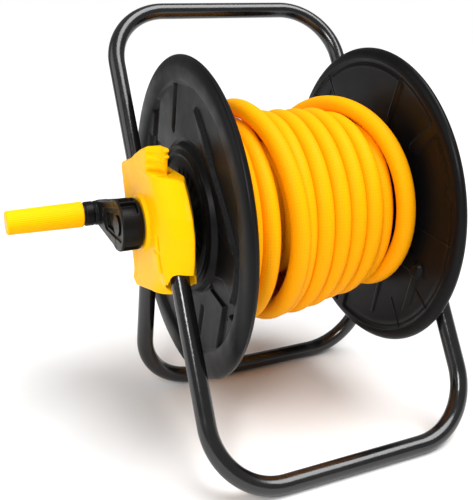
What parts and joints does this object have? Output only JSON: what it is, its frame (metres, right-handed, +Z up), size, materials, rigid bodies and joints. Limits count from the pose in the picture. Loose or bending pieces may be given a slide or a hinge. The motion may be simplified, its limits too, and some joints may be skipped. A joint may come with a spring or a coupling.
{
  "type": "garden hose reel",
  "caption": "Hand-cranked garden hose reel with a wound hose on a free-standing stand of bent tubes with a carrying handle.",
  "frame": {"origin": "centre of the bounding box, on the floor that the stand's two foot bars rest on", "axes": "+Z up, +X along the drum's line from the crank to the water inlet, +Y from the front foot towards the side that the carrying handle leans to"},
  "size_m": [0.4159, 0.3, 0.3846],
  "materials": {
    "black_tube": "semi-gloss powder coat",
    "yellow_plastic": "satin moulded",
    "black_plastic": "satin moulded",
    "grey_plastic": "plain moulded",
    "yellow_hose": "satin with a faint knit",
    "screw_steel": "zinc plated",
    "seal_rubber": "matt"
  },
  "bodies": {
    "stand": {"handle_tube": "black_tube", "front_foot_tube": "black_tube", "rear_foot_tube": "black_tube", "left_bracket_outer": "yellow_plastic", "left_bracket_inner": "yellow_plastic", "left_bearing_bush": "grey_plastic", "left_bracket_screws": "screw_steel", "left_tube_screws": "screw_steel", "right_bracket_outer": "yellow_plastic", "right_bracket_inner": "yellow_plastic", "right_bearing_bush": "grey_plastic", "right_bracket_screws": "screw_steel", "right_tube_screws": "screw_steel", "water_inlet": "black_plastic", "inlet_seals": "seal_rubber", "inlet_screws": "screw_steel"},
    "drum": {"left_flange": "black_plastic", "right_flange": "black_plastic", "barrel": "black_plastic", "barrel_screws": "screw_steel", "left_shaft_screws": "screw_steel", "right_shaft_screws": "screw_steel", "crank_shaft": "grey_plastic", "water_journal": "grey_plastic", "water_elbow": "grey_plastic", "hose_barb": "grey_plastic", "hose_clamp": "screw_steel", "crank_arm": "black_plastic", "crank_screw": "screw_steel", "crank_cap": "black_plastic", "grip_pin": "screw_steel", "grip_washer": "black_plastic", "hose_coil": "yellow_hose", "hose_tail": "yellow_hose", "hose_end_connector": "black_plastic"},
    "grip": {"crank_grip": "yellow_plastic", "grip_cap": "yellow_plastic"},
    "release_collar": {"connector_collar": "yellow_plastic"}
  },
  "joints": [
    {"name": "drum_spin", "type": "hinge", "parent": "stand", "child": "drum", "pos_m": [0.038, 0, 0.199], "axis": [1, 0, 0], "continuous": true},
    {"name": "grip_spin", "type": "hinge", "parent": "drum", "child": "grip", "pos_m": [-0.172, 0.07, 0.192], "axis": [1, 0, 0], "continuous": true},
    {"name": "connector_release", "type": "slide", "parent": "drum", "child": "release_collar", "axis": [0, -0.1571, 0.9876], "range_m": [0, 0.003], "stiffness_N_per_m": 400, "springref_m": -0.001}
  ]
}
